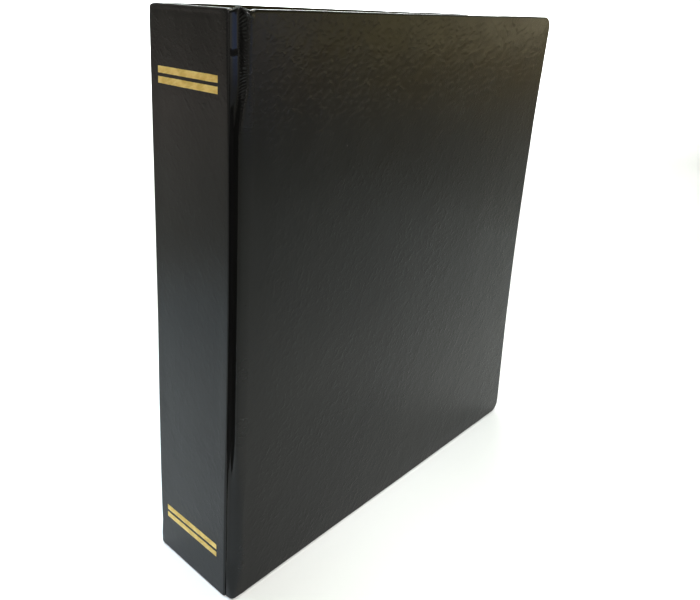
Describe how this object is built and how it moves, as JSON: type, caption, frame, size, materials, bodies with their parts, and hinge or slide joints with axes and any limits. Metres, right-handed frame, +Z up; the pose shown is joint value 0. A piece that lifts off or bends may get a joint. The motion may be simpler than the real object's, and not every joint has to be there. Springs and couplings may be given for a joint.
{
  "type": "coin album",
  "caption": "Upright ring-bound coin album in black leatherette with gold spine bars, hinged covers, opening ring mechanism and clear pocket pages.",
  "frame": {"origin": "centre of the closed album's base, on the surface it stands on", "axes": "+X from the spine to the fore-edge, -Y towards the front cover's outside, +Z up the spine"},
  "size_m": [0.267, 0.0634, 0.2921],
  "materials": {
    "black_leatherette": "semi-gloss, fine creased grain",
    "gold_foil": "hot-stamped foil, satin",
    "greyboard": "matt, pulpy",
    "black_lining": "matt coated",
    "nickel_steel": "bright nickel plate",
    "clear_vinyl": "clear soft vinyl film"
  },
  "bodies": {
    "spine": {"spine_board": "greyboard", "spine_wrap": "black_leatherette", "spine_lining": "black_lining", "spine_bars_top": "gold_foil", "spine_bars_bottom": "gold_foil", "front_hinge_web": "black_leatherette", "back_hinge_web": "black_leatherette", "ring_housing": "nickel_steel", "rivets": "nickel_steel", "lever_pins": "nickel_steel"},
    "front_cover": {"front_board": "greyboard", "front_cover_wrap": "black_leatherette", "front_lining": "black_lining"},
    "back_cover": {"back_board": "greyboard", "back_cover_wrap": "black_leatherette", "back_lining": "black_lining"},
    "front_rings": {"front_blade": "nickel_steel", "front_ring_halves": "nickel_steel"},
    "back_rings": {"back_blade": "nickel_steel", "back_ring_halves": "nickel_steel"},
    "top_lever": {"top_lever": "nickel_steel"},
    "bottom_lever": {"bottom_lever": "nickel_steel"},
    "page_1": {"coin_page_1": "clear_vinyl"},
    "page_2": {"coin_page_2": "clear_vinyl"},
    "page_3": {"coin_page_3": "clear_vinyl"},
    "page_4": {"coin_page_4": "clear_vinyl"},
    "page_5": {"coin_page_5": "clear_vinyl"},
    "page_6": {"coin_page_6": "clear_vinyl"}
  },
  "joints": [
    {"name": "front_cover_hinge", "type": "hinge", "parent": "spine", "child": "front_cover", "pos_m": [-0.12995, -0.0282, 0.146], "axis": [0, 0, -1], "range_deg": [0, 175], "deforming": ["front_hinge_web"]},
    {"name": "back_cover_hinge", "type": "hinge", "parent": "spine", "child": "back_cover", "pos_m": [-0.12995, 0.0282, 0.146], "axis": [0, 0, 1], "range_deg": [0, 175], "deforming": ["back_hinge_web"]},
    {"name": "ring_opening", "type": "hinge", "parent": "spine", "child": "front_rings", "pos_m": [-0.12725, -0.0107, 0.14605], "axis": [0, 0, -1], "range_deg": [0, 6]},
    {"name": "back_ring_opening", "type": "hinge", "parent": "spine", "child": "back_rings", "pos_m": [-0.12725, 0.0107, 0.14605], "axis": [0, 0, 1], "range_deg": [0, 6]},
    {"name": "top_lever_pivot", "type": "hinge", "parent": "spine", "child": "top_lever", "pos_m": [-0.12625, 0, 0.2826], "axis": [0, -1, 0], "range_deg": [0, 15]},
    {"name": "bottom_lever_pivot", "type": "hinge", "parent": "spine", "child": "bottom_lever", "pos_m": [-0.12625, 0, 0.0095], "axis": [0, 1, 0], "range_deg": [0, 15]},
    {"name": "page_1_turn", "type": "hinge", "parent": "spine", "child": "page_1", "pos_m": [-0.10545, 0, 0.14605], "axis": [0, 0, -1], "range_deg": [0, 78.75]},
    {"name": "page_2_turn", "type": "hinge", "parent": "spine", "child": "page_2", "pos_m": [-0.10545, 0, 0.14605], "axis": [0, 0, -1], "range_deg": [0, 52.5]},
    {"name": "page_3_turn", "type": "hinge", "parent": "spine", "child": "page_3", "pos_m": [-0.10545, 0, 0.14605], "axis": [0, 0, -1], "range_deg": [0, 26.25]},
    {"name": "page_4_turn", "type": "hinge", "parent": "spine", "child": "page_4", "pos_m": [-0.10545, 0, 0.14605], "axis": [0, 0, 1], "range_deg": [0, 26.25]},
    {"name": "page_5_turn", "type": "hinge", "parent": "spine", "child": "page_5", "pos_m": [-0.10545, 0, 0.14605], "axis": [0, 0, 1], "range_deg": [0, 52.5]},
    {"name": "page_6_turn", "type": "hinge", "parent": "spine", "child": "page_6", "pos_m": [-0.10545, 0, 0.14605], "axis": [0, 0, 1], "range_deg": [0, 78.75]}
  ],
  "couplings": [
    {"joint": "back_ring_opening", "follows": "ring_opening", "ratio": 1},
    {"joint": "top_lever_pivot", "follows": "ring_opening", "ratio": 2.5},
    {"joint": "bottom_lever_pivot", "follows": "ring_opening", "ratio": 2.5},
    {"joint": "page_1_turn", "follows": "front_cover_hinge", "ratio": 0.45},
    {"joint": "page_2_turn", "follows": "front_cover_hinge", "ratio": 0.3},
    {"joint": "page_3_turn", "follows": "front_cover_hinge", "ratio": 0.15},
    {"joint": "page_4_turn", "follows": "back_cover_hinge", "ratio": 0.15},
    {"joint": "page_5_turn", "follows": "back_cover_hinge", "ratio": 0.3},
    {"joint": "page_6_turn", "follows": "back_cover_hinge", "ratio": 0.45}
  ]
}
